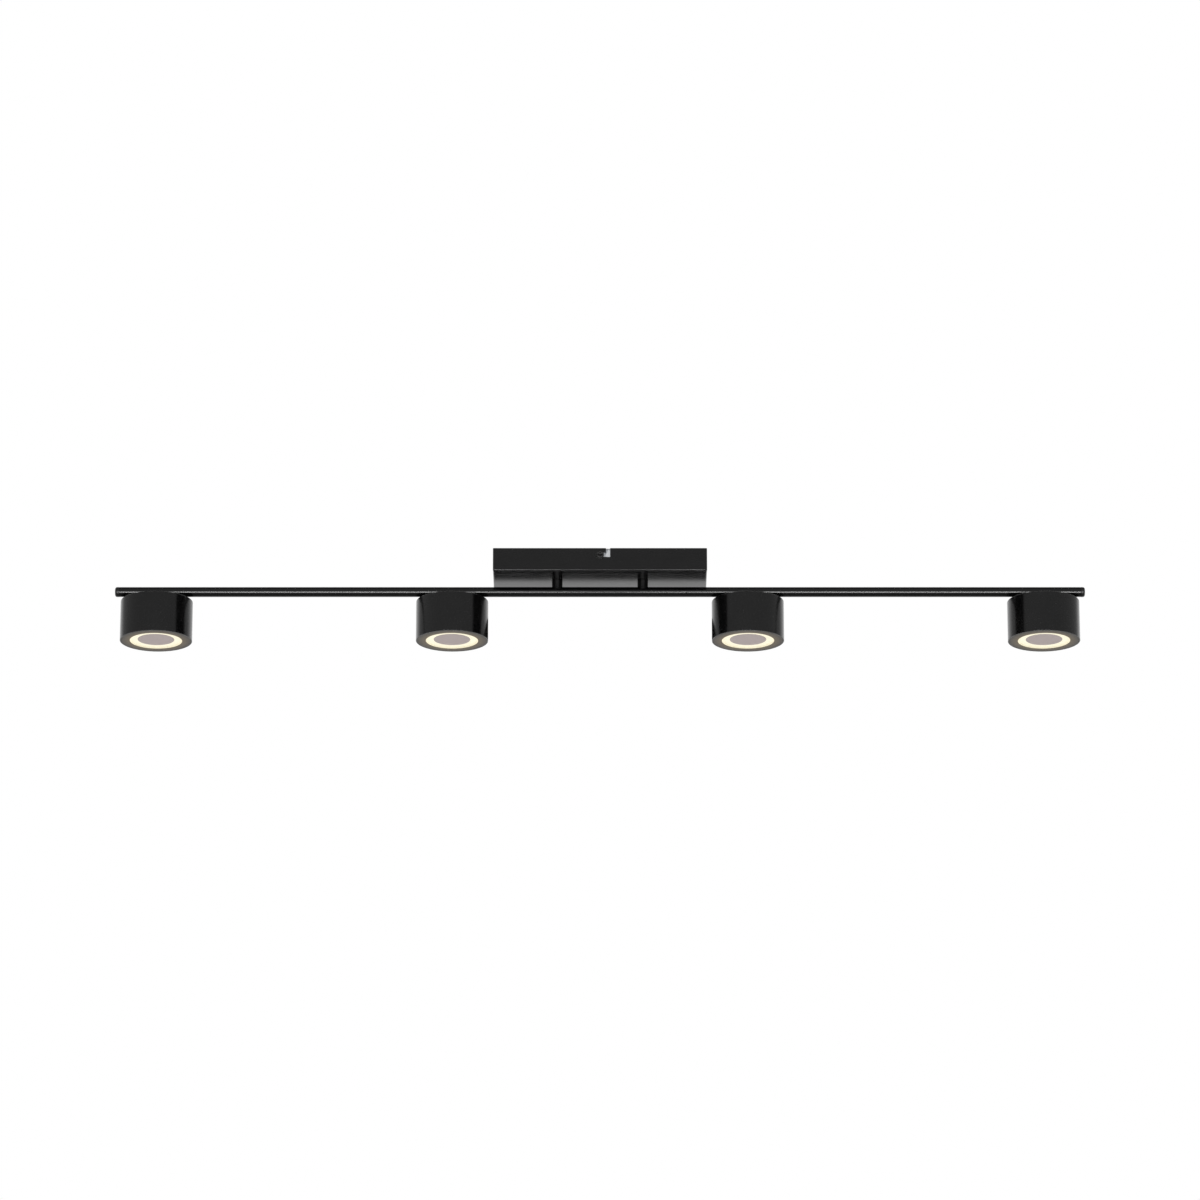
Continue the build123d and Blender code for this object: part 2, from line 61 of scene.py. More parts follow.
# One socket of a node tree. Ordinary sums on it add the Math nodes that they need.
class Value:
    def __init__(self, bench, socket):
        self.bench = bench
        self.socket = socket

    def maths(self, operation, *others):
        inputs = dict(enumerate((self, *others)))
        return self.bench.node("ShaderNodeMath", {"operation": operation}, inputs)

    def __add__(self, other):
        return self.maths("ADD", other)

    def __radd__(self, other):
        return self + other

    def __sub__(self, other):
        return self.maths("SUBTRACT", other)

    def __rsub__(self, other):
        return self * -1 + other

    def __mul__(self, other):
        return self.maths("MULTIPLY", other)

    def __rmul__(self, other):
        return self * other

    def __truediv__(self, other):
        return self.maths("DIVIDE", other)

    def __mod__(self, other):
        return self.maths("FLOORED_MODULO", other)

    def __pow__(self, other):
        return self.maths("POWER", other)

    def __neg__(self):
        return self * -1

    def __abs__(self):
        return self.maths("ABSOLUTE")

    def __gt__(self, other):
        return self.maths("GREATER_THAN", other)

    # Another output of the same node
    def beside(self, name):
        return Value(self.bench, self.socket.node.outputs[name])

    # Goes smoothly from 0 to 1 between two values
    def rise(self, low, high):
        settings = {"interpolation_type": "SMOOTHSTEP"}
        return self.bench.node("ShaderNodeMapRange", settings, {0: self, 1: low, 2: high})


# A node tree with one method that adds any node
class Bench:
    def __init__(self, tree):
        self.tree = tree
        tree.nodes.clear()

    def node(self, kind, settings=None, inputs=None, output=0):
        made = self.tree.nodes.new(kind)
        for name, value in (settings or {}).items():
            if name == "stops":
                self.setStops(made.color_ramp, value)
            else:
                setattr(made, name, value)
        for key, value in (inputs or {}).items():
            if isinstance(value, Value):
                self.tree.links.new(value.socket, made.inputs[key])
            else:
                made.inputs[key].default_value = value
        if len(made.outputs) == 0:
            return made
        return Value(self, made.outputs[output])

    def setStops(self, ramp, stops):
        while len(ramp.elements) < len(stops):
            ramp.elements.new(1.0)
        for element, (place, colour) in zip(ramp.elements, stops):
            element.position = place
            element.color = (*colour, 1.0)

    def noise(self, where, grain, detail=2.0):
        inputs = {"Vector": where, "Scale": 1 / grain, "Detail": detail}
        return self.node("ShaderNodeTexNoise", {}, inputs)

    def mixColour(self, share, first, second):
        inputs = {0: share, 6: asColour(first), 7: asColour(second)}
        return self.node("ShaderNodeMix", {"data_type": "RGBA"}, inputs, output=2)

    def apart(self, vector):
        split = self.node("ShaderNodeSeparateXYZ", {}, {0: vector})
        return split, split.beside("Y"), split.beside("Z")


def asColour(value):
    return value if isinstance(value, Value) else (*value, 1.0)


# Finishes


class Finish(Bench):
    def __init__(self, name):
        self.material = bpy.data.materials.new(name)
        self.material.use_nodes = True
        super().__init__(self.material.node_tree)
        self.where = self.node("ShaderNodeTexCoord", output="Object")

    # Joins the surface to its output. The bump is a height in metres, and shine is 0.5 unless given.
    def done(self, colour, roughness, bump=None, metallic=0.0, shine=0.5, **more):
        inputs = {"Base Color": asColour(colour), "Roughness": roughness, "Metallic": metallic, **more}
        inputs["Specular IOR Level"] = shine
        if bump is not None:
            inputs["Normal"] = self.node("ShaderNodeBump", {}, {"Height": bump, "Distance": 1.0})
        shader = self.node("ShaderNodeBsdfPrincipled", {}, inputs)
        self.node("ShaderNodeOutputMaterial", {}, {"Surface": shader})
        return self.material


# Baked powder paint: fine orange peel, a slow drift of tone and a few matt specks
def powderPaint(name, look):
    paint = Finish(name)
    peel = paint.noise(paint.where, look["peel"], 1.0)
    fine = paint.noise(paint.where, look["grain"], 2.0)
    drift = paint.noise(paint.where, look["drift"], 3.0)
    specks = paint.noise(paint.where, look["speck"], 0.0).rise(0.74, 0.8)
    colour = paint.mixColour(drift.rise(0.3, 0.7), look["dark"], look["light"])
    colour = paint.mixColour(specks * 0.5, colour, look["dust"])
    roughness = look["roughness"] + (fine - 0.5) * 0.12 + (drift - 0.5) * 0.08 + specks * 0.1
    height = peel * look["peelHeight"] + fine * look["grainHeight"]
    return paint.done(colour, roughness, height, shine=look.get("shine", 0.5))


# Moulded plastic with a spark-eroded skin. Light that spills from a lens onto it is painted on as a
# faint glow: an emission, strongest near the lens.
def mouldedPlastic(name, look):
    plastic = Finish(name)
    cells = {"Vector": plastic.where, "Scale": 1 / look["grain"]}
    pits = plastic.node("ShaderNodeTexVoronoi", {"feature": "SMOOTH_F1"}, cells)
    cloud = plastic.noise(plastic.where, look["grain"] * 3, 3.0)
    drift = plastic.noise(plastic.where, 20 * mm, 2.0)
    colour = plastic.mixColour(cloud.rise(0.35, 0.65), look["dark"], look["light"])
    roughness = look["roughness"] + (cloud - 0.5) * 0.2 + (drift - 0.5) * 0.08
    height = pits * look["pitDepth"] + cloud * look["pitDepth"]
    more = {}
    # Painted light: the lens's spill onto the plastic is drawn as emission, fading out between
    # spillStart and spillEnd from the head's axis
    if "spill" in look:
        radius, _ = roundHead(plastic)
        paintedSpillGlow = (1 - radius.rise(look["spillStart"], look["spillEnd"])) * (0.7 + cloud * 0.6)
        more["Emission Color"] = plastic.mixColour(paintedSpillGlow, (0, 0, 0), look["spill"])
        more["Emission Strength"] = 1.0
    return plastic.done(colour, roughness, height, shine=look.get("shine", 0.5), **more)


# Hot-dip zinc: angular spangles of different tone with fine frost on them
def zincSpangle(name, look):
    zinc = Finish(name)
    cells = {"Vector": zinc.where, "Scale": 1 / look["spangle"]}
    flake = zinc.node("ShaderNodeTexVoronoi", {}, cells, output="Color")
    tone = zinc.apart(flake)[0]
    frost = zinc.noise(zinc.where, look["frost"], 4.0)
    stain = zinc.noise(zinc.where, 25 * mm, 3.0).rise(0.5, 0.75)
    stops = [(0.0, look["dark"]), (0.6, look["middle"]), (1.0, look["light"])]
    colour = zinc.node("ShaderNodeValToRGB", {"stops": stops}, {0: tone})
    colour = zinc.mixColour(stain * 0.35, colour, look["stain"])
    roughness = look["roughness"] + tone * 0.15 + (frost - 0.5) * 0.2
    return zinc.done(colour, roughness, frost * 4e-6 + tone * 3e-6, 0.9)


# Plated or bare metal of small turned parts, with a cloudy plating and fine tool marks
def platedMetal(name, look):
    metal = Finish(name)
    cloud = metal.noise(metal.where, look["cloud"], 3.0)
    marks = metal.noise(metal.where, look["marks"], 1.0)
    colour = metal.mixColour(cloud.rise(0.3, 0.7), look["dark"], look["light"])
    roughness = look["roughness"] + (cloud - 0.5) * 0.25 + (marks - 0.5) * 0.1
    return metal.done(colour, roughness, marks * 5e-6, look["metallic"])


# Distance from the axis of the nearest head, and the angle round it
def roundHead(finish):
    alongBar, across, _ = finish.apart(finish.where)
    first = centreOf("head_1_housing").x
    pitch = centreOf("head_2_housing").x - first
    offset = (alongBar - (first - pitch / 2)) % pitch - pitch / 2
    radius = (offset * offset + across * across) ** 0.5
    return radius, across.maths("ARCTAN2", offset)


# Satin disc: faint turned rings and a soft cloud, under a clear matt coat
def satinDisc(name, look):
    satin = Finish(name)
    radius, _ = roundHead(satin)
    rings = satin.noise(satin.node("ShaderNodeCombineXYZ", {}, {0: radius}), look["ring"], 3.0)
    cloud = satin.noise(satin.where, look["cloud"], 3.0)
    colour = satin.mixColour(rings * 0.6 + cloud * 0.4, look["dark"], look["light"])
    roughness = look["roughness"] + (rings - 0.5) * 0.15 + (cloud - 0.5) * 0.1
    return satin.done(colour, roughness, rings * look["ringHeight"], look["metallic"])


# Opal lens, lit from inside: a little warmer towards its rim and in the gaps between the chips
def opalLens(name, look):
    lens = Finish(name)
    radius, angle = roundHead(lens)
    chips = look["chips"]
    between = (0.5 + 0.5 * (angle * chips).maths("COSINE")) * radius.rise(12 * mm, 20 * mm)
    frost = lens.noise(lens.where, look["frost"], 2.0)
    rim = radius.rise(look["rimStart"], look["rimEnd"])
    glow = lens.mixColour(rim, look["glow"], look["rimGlow"])
    glow = lens.mixColour(between * 0.12 + (frost - 0.5) * 0.05, glow, look["rimGlow"])
    body = lens.mixColour(frost, look["dark"], look["light"])
    more = {"Emission Color": glow, "Emission Strength": look["strength"]}
    return lens.done(body, look["roughness"] + frost * 0.1, frost * 6e-6, 0.0, **more)


# White solder resist with the copper lands showing a little through it
def boardResist(name, look):
    board = Finish(name)
    radius, angle = roundHead(board)
    fromLands = abs(radius - look["landCircle"])
    track = 1 - fromLands.rise(look["landWidth"] * 0.8, look["landWidth"])
    gap = abs(angle * look["lands"] / (2 * pi) % 1.0 - 0.5).rise(0.44, 0.46)
    cloud = board.noise(board.where, 6 * mm, 3.0)
    colour = board.mixColour(track * (1 - gap), look["resist"], look["land"])
    colour = board.mixColour(cloud * 0.15, colour, look["shade"])
    return board.done(colour, 0.38 + cloud * 0.15, track * (1 - gap) * 20e-6 + cloud * 4e-6)


# Wire sheaths: live and neutral lie at the front and the back of the canopy, earth on its middle
def wireSheath(name, look):
    sheath = Finish(name)
    _, across, up = sheath.apart(sheath.where)
    if look["mains"]:
        stripes = (up * 900).maths("SINE").rise(-0.1, 0.1)
        earth = sheath.mixColour(stripes, look["earth"], look["earthStripe"])
        colour = sheath.mixColour(across > look["lane"], earth, look["neutral"])
        colour = sheath.mixColour(-across > look["lane"], colour, look["live"])
    else:
        colour = sheath.mixColour(across > 0.0, look["plus"], look["minus"])
    scuff = sheath.noise(sheath.where, 2 * mm, 3.0)
    colour = sheath.mixColour(scuff.rise(0.5, 0.9) * 0.25, colour, look["scuff"])
    return sheath.done(colour, 0.38 + scuff * 0.2, scuff * 8e-6)


looks = {
    "canopy_paint": {
        "make": powderPaint,
        "dark": (0.0032, 0.0032, 0.0034),
        "light": (0.0052, 0.005, 0.0051),
        "dust": (0.02, 0.02, 0.02),
        "roughness": 0.14,
        "peel": 2.6 * mm,
        "grain": 0.5 * mm,
        "drift": 45 * mm,
        "speck": 1.1 * mm,
        "peelHeight": 12e-6,
        "grainHeight": 5e-6,
    },
    "bar_paint": {
        "make": powderPaint,
        "dark": (0.0028, 0.0028, 0.003),
        "light": (0.0044, 0.0043, 0.0044),
        "dust": (0.02, 0.02, 0.02),
        "roughness": 0.16,
        "peel": 2.0 * mm,
        "grain": 0.4 * mm,
        "drift": 60 * mm,
        "speck": 1.2 * mm,
        "peelHeight": 3e-6,
        "grainHeight": 1.5e-6,
    },
    "post_paint": {
        "make": powderPaint,
        "dark": (0.0028, 0.0028, 0.003),
        "light": (0.0044, 0.0043, 0.0044),
        "dust": (0.02, 0.02, 0.02),
        "roughness": 0.34,
        "shine": 0.15,
        "peel": 1.6 * mm,
        "grain": 0.4 * mm,
        "drift": 12 * mm,
        "speck": 1.2 * mm,
        "peelHeight": 6e-6,
        "grainHeight": 3e-6,
    },
    "head_paint": {
        "make": powderPaint,
        "dark": (0.003, 0.003, 0.0032),
        "light": (0.005, 0.0049, 0.005),
        "dust": (0.02, 0.02, 0.02),
        "roughness": 0.2,
        "peel": 2.2 * mm,
        "grain": 0.45 * mm,
        "drift": 30 * mm,
        "speck": 1.0 * mm,
        "peelHeight": 10e-6,
        "grainHeight": 6e-6,
    },
    "stem_black": {
        "make": powderPaint,
        "dark": (0.008, 0.008, 0.0085),
        "light": (0.014, 0.0135, 0.013),
        "dust": (0.05, 0.05, 0.05),
        "roughness": 0.3,
        "peel": 0.8 * mm,
        "grain": 0.3 * mm,
        "drift": 6 * mm,
        "speck": 0.9 * mm,
        "peelHeight": 4e-6,
        "grainHeight": 3e-6,
    },
    "plug_black": {
        "make": mouldedPlastic,
        "dark": (0.008, 0.008, 0.008),
        "light": (0.016, 0.016, 0.016),
        "roughness": 0.36,
        "grain": 0.35 * mm,
        "pitDepth": 6e-6,
    },
    "bezel_grey": {
        "make": mouldedPlastic,
        "dark": (0.006, 0.0057, 0.0054),
        "light": (0.03, 0.0285, 0.027),
        "roughness": 0.44,
        "shine": 0.25,
        # Painted light: a warm glow on the bezel, standing in for the lens's light spilling onto it
        "spill": (0.085, 0.06, 0.026),
        "spillStart": 24 * mm,
        "spillEnd": 38 * mm,
        "grain": 0.7 * mm,
        "pitDepth": 18e-6,
    },
    "terminal_plastic": {
        "make": mouldedPlastic,
        "dark": (0.6, 0.58, 0.52),
        "light": (0.74, 0.72, 0.66),
        "roughness": 0.42,
        "grain": 0.5 * mm,
        "pitDepth": 6e-6,
    },
    "driver_plastic": {
        "make": mouldedPlastic,
        "dark": (0.62, 0.62, 0.61),
        "light": (0.76, 0.76, 0.75),
        "roughness": 0.45,
        "grain": 0.6 * mm,
        "pitDepth": 8e-6,
    },
    "galvanised_steel": {
        "make": zincSpangle,
        "dark": (0.42, 0.44, 0.46),
        "middle": (0.56, 0.575, 0.59),
        "light": (0.7, 0.715, 0.73),
        "stain": (0.4, 0.4, 0.38),
        "roughness": 0.36,
        "spangle": 5 * mm,
        "frost": 0.8 * mm,
    },
    "black_screw": {
        "make": platedMetal,
        "dark": (0.012, 0.012, 0.013),
        "light": (0.03, 0.029, 0.028),
        "roughness": 0.32,
        "cloud": 2 * mm,
        "marks": 0.2 * mm,
        "metallic": 0.4,
    },
    "bright_screw": {
        "make": platedMetal,
        "dark": (0.52, 0.52, 0.5),
        "light": (0.7, 0.7, 0.68),
        "roughness": 0.28,
        "cloud": 2 * mm,
        "marks": 0.2 * mm,
        "metallic": 1.0,
    },
    "brass": {
        "make": platedMetal,
        "dark": (0.55, 0.38, 0.14),
        "light": (0.75, 0.56, 0.26),
        "roughness": 0.3,
        "cloud": 3 * mm,
        "marks": 0.25 * mm,
        "metallic": 1.0,
    },
    "disc_satin": {
        "make": satinDisc,
        "dark": (0.3, 0.24, 0.232),
        "light": (0.38, 0.315, 0.305),
        "roughness": 0.4,
        "ring": 0.7 * mm,
        "ringHeight": 6e-6,
        "cloud": 8 * mm,
        "metallic": 0.0,
    },
    "opal_lens": {
        "make": opalLens,
        "dark": (0.32, 0.305, 0.26),
        "light": (0.37, 0.355, 0.31),
        "glow": (0.62, 0.58, 0.42),
        "rimGlow": (0.6, 0.5, 0.28),
        "rimStart": 25.2 * mm,
        "rimEnd": 26.2 * mm,
        "strength": 1.0,
        "roughness": 0.35,
        "frost": 0.6 * mm,
        "chips": 18,
    },
    "board_white": {
        "make": boardResist,
        "resist": (0.78, 0.79, 0.78),
        "land": (0.7, 0.66, 0.55),
        "shade": (0.55, 0.56, 0.56),
        "landCircle": 22 * mm,
        "landWidth": 3.2 * mm,
        "lands": 18,
    },
    "wire_sheath": {
        "make": wireSheath,
        "mains": False,
        "plus": (0.32, 0.012, 0.01),
        "minus": (0.012, 0.012, 0.012),
        "scuff": (0.3, 0.26, 0.24),
    },
    "mains_sheath": {
        "make": wireSheath,
        "mains": True,
        "live": (0.1, 0.035, 0.012),
        "neutral": (0.015, 0.07, 0.3),
        "earth": (0.02, 0.16, 0.03),
        "earthStripe": (0.6, 0.5, 0.03),
        "scuff": (0.35, 0.33, 0.3),
        "lane": 4 * mm,
    },
}
finishes = {name: look["make"](name, look) for name, look in looks.items()}
print("finishes made:", len(finishes))

# Geometry trees


# A Geometry Nodes tree with named inputs, each with its kind of socket and its first value
class Recipe(Bench):
    def __init__(self, name, sizes):
        tree = bpy.data.node_groups.new(name, "GeometryNodeTree")
        super().__init__(tree)
        face = tree.interface
        face.new_socket("Geometry", in_out="INPUT", socket_type="NodeSocketGeometry")
        for label, (kind, start) in sizes.items():
            socket = face.new_socket(label, in_out="INPUT", socket_type="NodeSocket" + kind)
            if start is not None:
                socket.default_value = start
        face.new_socket("Material", in_out="INPUT", socket_type="NodeSocketMaterial")
        face.new_socket("Geometry", in_out="OUTPUT", socket_type="NodeSocketGeometry")
        self.given = self.node("NodeGroupInput")

    def size(self, label):
        return self.given.beside(label)

    def done(self, geometry):
        real = self.node("GeometryNodeRealizeInstances", {}, {"Geometry": geometry})
        dressed = {"Geometry": real, "Material": self.size("Material")}
        self.node("NodeGroupOutput", {}, {0: self.node("GeometryNodeSetMaterial", {}, dressed)})
        return self.tree

    # Runs the tree on a mesh and gives back the plain mesh that it makes, all in one finish
    @staticmethod
    def run(tree, mesh, finish, **sizes):
        holder = bpy.data.objects.new("holder", mesh)
        bpy.context.scene.collection.objects.link(holder)
        modifier = holder.modifiers.new("recipe", "NODES")
        modifier.node_group = tree
        sizes["Material"] = finishes[finish]
        for socket in tree.interface.items_tree:
            if socket.in_out == "INPUT" and socket.name in sizes:
                modifier[socket.identifier] = sizes[socket.name]
        graph = bpy.context.evaluated_depsgraph_get()
        made = bpy.data.meshes.new_from_object(holder.evaluated_get(graph))
        bpy.data.objects.remove(holder)
        made.materials.clear()
        made.materials.append(finishes[finish])
        made.polygons.foreach_set("material_index", [0] * len(made.polygons))
        return made


# Turns an outline of points (radius, 0, height) about the Z axis, then tips it over and places it
def makeTurning():
    recipe = Recipe(
        "turnedPiece",
        {"Segments": ("Int", 96), "Tip": ("Vector", (0, 0, 0)), "Centre": ("Vector", (0, 0, 0))},
    )
    outline = recipe.given
    domain = {"component": "MESH"}
    count = recipe.node("GeometryNodeAttributeDomainSize", domain, {0: outline})
    segments = recipe.size("Segments")
    sheet = {"Size X": 1.0, "Size Y": 1.0, "Vertices X": segments + 1, "Vertices Y": count}
    grid = recipe.node("GeometryNodeMeshGrid", {}, sheet)
    index = recipe.node("GeometryNodeInputIndex")
    place = recipe.node("GeometryNodeInputPosition")
    sampling = {"data_type": "FLOAT_VECTOR", "domain": "POINT"}
    step = {"Geometry": outline, "Value": place, "Index": index % count}
    radius, _, height = recipe.apart(recipe.node("GeometryNodeSampleIndex", sampling, step))
    turn = (index / count).maths("FLOOR") / segments * (2 * pi)
    ends = {0: radius * turn.maths("COSINE"), 1: radius * turn.maths("SINE"), 2: height}
    wrapped = recipe.node("ShaderNodeCombineXYZ", {}, ends)
    shape = recipe.node("GeometryNodeSetPosition", {}, {"Geometry": grid, "Position": wrapped})
    closed = recipe.node("GeometryNodeMergeByDistance", {}, {"Geometry": shape, "Distance": 2e-6})
    posed = {"Geometry": closed, "Translation": recipe.size("Centre"), "Rotation": recipe.size("Tip")}
    return recipe.done(recipe.node("GeometryNodeTransform", {}, posed))


# Repeats a shape round the Z axis, turned to face outwards, and places the ring
def makeRing():
    recipe = Recipe(
        "ringOfPieces",
        {
            "Count": ("Int", 12),
            "Radius": ("Float", 0.01),
            "Start": ("Float", 0.0),
            "Centre": ("Vector", (0, 0, 0)),
        },
    )
    count = recipe.size("Count")
    circle = {"Vertices": count, "Radius": recipe.size("Radius")}
    spots = recipe.node("GeometryNodeMeshCircle", {}, circle)
    turn = recipe.node("GeometryNodeInputIndex") / count * (2 * pi)
    facing = recipe.node("ShaderNodeCombineXYZ", {}, {2: turn})
    copies = {"Points": spots, "Instance": recipe.given, "Rotation": facing}
    ring = recipe.node("GeometryNodeInstanceOnPoints", {}, copies)
    swing = recipe.node("ShaderNodeCombineXYZ", {}, {2: recipe.size("Start")})
    posed = {"Geometry": ring, "Translation": recipe.size("Centre"), "Rotation": swing}
    return recipe.done(recipe.node("GeometryNodeTransform", {}, posed))


# Repeats a shape on a grid of places, such as the clamps of a terminal block or the ribs of a lid
def makeRows():
    recipe = Recipe(
        "rowsOfPieces",
        {
            "Columns": ("Int", 1),
            "Rows": ("Int", 1),
            "Width": ("Float", 0.0),
            "Depth": ("Float", 0.0),
            "Tip": ("Vector", (0, 0, 0)),
            "Centre": ("Vector", (0, 0, 0)),
        },
    )
    sheet = {
        "Size X": recipe.size("Width"),
        "Size Y": recipe.size("Depth"),
        "Vertices X": recipe.size("Columns"),
        "Vertices Y": recipe.size("Rows"),
    }
    spots = recipe.node("GeometryNodeMeshGrid", {}, sheet)
    copies = {"Points": spots, "Instance": recipe.given, "Rotation": recipe.size("Tip")}
    rows = recipe.node("GeometryNodeInstanceOnPoints", {}, copies)
    posed = {"Geometry": rows, "Translation": recipe.size("Centre")}
    return recipe.done(recipe.node("GeometryNodeTransform", {}, posed))


turning = makeTurning()
ringing = makeRing()
rowing = makeRows()


# Shapes


# An outline whose corners are (radius, height, edge radius). One that leaves the axis is a closed loop.
def outlineMesh(corners, steps=4):
    points = []
    loop = corners[0][0] > 0
    count = len(corners)
    for place, (radius, height, edge) in enumerate(corners):
        at = Vector((radius, 0, height))
        inner = loop or 0 < place < count - 1
        if edge == 0 or not inner:
            points.append(at)
            continue
        before = corners[place - 1]
        after = corners[(place + 1) % count]
        toBefore = (Vector((before[0], 0, before[1])) - at).normalized()
        toAfter = (Vector((after[0], 0, after[1])) - at).normalized()
        start = at + toBefore * edge
        end = at + toAfter * edge
        for step in range(steps + 1):
            share = step / steps
            points.append(start.lerp(at, share).lerp(at.lerp(end, share), share))
    if loop:
        points.append(points[0])
    mesh = bpy.data.meshes.new("outline")
    mesh.from_pydata(points, [(n, n + 1) for n in range(len(points) - 1)], [])
    return mesh


def turned(corners, finish, centre=(0, 0, 0), tip=(0, 0, 0), segments=96, steps=4):
    sizes = {"Centre": centre, "Tip": tip, "Segments": segments}
    return cleaned(Recipe.run(turning, outlineMesh(corners, steps), finish, **sizes))


# Corners of a screw thread, from one height to another
def threadCorners(radius, depth, start, end, pitch):
    turns = max(1, round(abs(end - start) / pitch))
    corners = []
    for turn in range(turns):
        height = start + (end - start) * turn / turns
        half = start + (end - start) * (turn + 0.5) / turns
        corners += [(radius - depth, height, 0), (radius, half, 0)]
    return corners + [(radius - depth, end, 0)]


# Merges doubles and points every face outwards
def cleaned(mesh, flat=0.0):
    work = bmesh.new()
    work.from_mesh(mesh)
    bmesh.ops.remove_doubles(work, verts=work.verts, dist=1e-6)
    if flat:
        bmesh.ops.dissolve_limit(work, angle_limit=radians(flat), verts=work.verts, edges=work.edges)
    bmesh.ops.dissolve_degenerate(work, dist=1e-7, edges=work.edges)
    bmesh.ops.recalc_face_normals(work, faces=work.faces)
    work.to_mesh(mesh)
    work.free()
    return mesh


# One mesh from several, each keeping its finish
def together(*meshes):
    work = bmesh.new()
    materials = []
    for mesh in meshes:
        if mesh.materials[0] not in materials:
            materials.append(mesh.materials[0])
        known = set(work.faces)
        work.from_mesh(mesh)
        for face in set(work.faces) - known:
            face.material_index = materials.index(mesh.materials[0])
    joined = bpy.data.meshes.new("joined")
    work.to_mesh(joined)
    work.free()
    for material in materials:
        joined.materials.append(material)
    return joined


# The shape that the modifiers leave, as a plain mesh. Each modifier is (kind, settings).
def shaped(mesh, *modifiers):
    holder = bpy.data.objects.new("holder", mesh)
    bpy.context.scene.collection.objects.link(holder)
    for kind, settings in modifiers:
        modifier = holder.modifiers.new(kind, kind)
        for name, value in settings.items():
            setattr(modifier, name, value)
    graph = bpy.context.evaluated_depsgraph_get()
    made = bpy.data.meshes.new_from_object(holder.evaluated_get(graph))
    bpy.data.objects.remove(holder)
    return made


def carved(mesh, tool, operation="DIFFERENCE"):
    cutter = bpy.data.objects.new("cutter", tool)
    bpy.context.scene.collection.objects.link(cutter)
    settings = {"object": cutter, "operation": operation, "solver": "EXACT"}
    made = shaped(mesh, ("BOOLEAN", settings))
    bpy.data.objects.remove(cutter)
    return cleaned(made)


def softened(mesh, edge=0.0, angle=40):
    mesh.shade_smooth()
    mesh.set_sharp_from_angle(angle=radians(angle))
    steps = []
    if edge:
        bevel = {"width": edge, "segments": 2, "limit_method": "ANGLE", "angle_limit": radians(angle)}
        steps.append(("BEVEL", bevel))
    steps.append(("WEIGHTED_NORMAL", {"keep_sharp": True}))
    return shaped(mesh, *steps)


# A flat-ended block between two corners
def block(low, high, finish):
    work = bmesh.new()
    bmesh.ops.create_cube(work, size=1.0)
    low = Vector(low)
    high = Vector(high)
    for vertex in work.verts:
        vertex.co = (low + high) / 2 + Vector(a * b for a, b in zip(vertex.co, high - low))
    mesh = bpy.data.meshes.new("block")
    work.to_mesh(mesh)
    work.free()
    mesh.materials.append(finishes[finish])
    return mesh


# A prism along Z, from its outline
def prism(outline, bottom, top, finish):
    work = bmesh.new()
    lower = [work.verts.new((x, y, bottom)) for x, y in outline]
    upper = [work.verts.new((x, y, top)) for x, y in outline]
    count = len(outline)
    work.faces.new(lower)
    work.faces.new(upper)
    for n in range(count):
        work.faces.new((lower[n], lower[(n + 1) % count], upper[(n + 1) % count], upper[n]))
    bmesh.ops.recalc_face_normals(work, faces=work.faces)
    mesh = bpy.data.meshes.new("prism")
    work.to_mesh(mesh)
    work.free()
    mesh.materials.append(finishes[finish])
    return mesh


def circlePoints(radius, count, centre=(0, 0), start=0.0, sweep=2 * pi):
    angles = [start + sweep * n / count for n in range(count)]
    return [(centre[0] + radius * cos(a), centre[1] + radius * sin(a)) for a in angles]


# A copy of a CAD node, in one finish, with flat faces merged and edges softened
def refined(node, finish, edge=0.15 * mm, angle=40):
    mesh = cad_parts[node].data.copy()
    mesh.materials.clear()
    mesh.materials.append(finishes[finish])
    for face in mesh.polygons:
        face.material_index = 0
    return softened(cleaned(mesh, flat=1.5), edge, angle)


def addPiece(name, mesh, body, slot, *nodes):
    piece = bpy.data.objects.new(name, mesh)
    bpy.context.scene.collection.objects.link(piece)
    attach(piece, body)
    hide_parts(*nodes)
    return piece


def paintNode(node, finish):
    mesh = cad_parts[node].data
    mesh.materials.clear()
    mesh.materials.append(finishes[finish])


# A CAD node as a refined piece under its own name
def addRefined(node, slot, edge, name, angle=40, finish=None):
    addPiece(name, refined(node, finish or slot, edge, angle), "root", slot, node)


# Spot heads

head = {
    "radius": sizeOf("head_1_housing").x / 2,
    "height": sizeOf("head_1_housing").z,
    "rimWall": 0.8 * mm,
    "rimStep": 2.5 * mm,
    "sideWall": 1.8 * mm,
    "topWall": 3.0 * mm,
    "topEdge": 0.8 * mm,
    "rimEdge": 0.2 * mm,
    "slotLength": 19.6 * mm,
    "slotWidth": 6.6 * mm,
    "segments": 192,
}
bezel = {
    "gap": 0.05 * mm,
    "aperture": 26.15 * mm,
    "edge": 0.3 * mm,
    "skirtTop": 7.0 * mm,
    "skirtWall": 1.3 * mm,
    "plate": 2.4 * mm,
}
lens = {
    "radius": 26.1 * mm,
    "rimWidth": 0.8 * mm,
    "rimBottom": 0.15 * mm,
    "recess": 1.5 * mm,
    "pocket": 2.1 * mm,
    "flange": 31.5 * mm,
    "flangeBottom": 2.45 * mm,
    "top": 3.5 * mm,
}
disc = {
    "radius": sizeOf("head_1_centre_disc").x / 2,
    "recess": 1.3 * mm,
    "top": 2.1 * mm,
    "edge": 0.25 * mm,
}


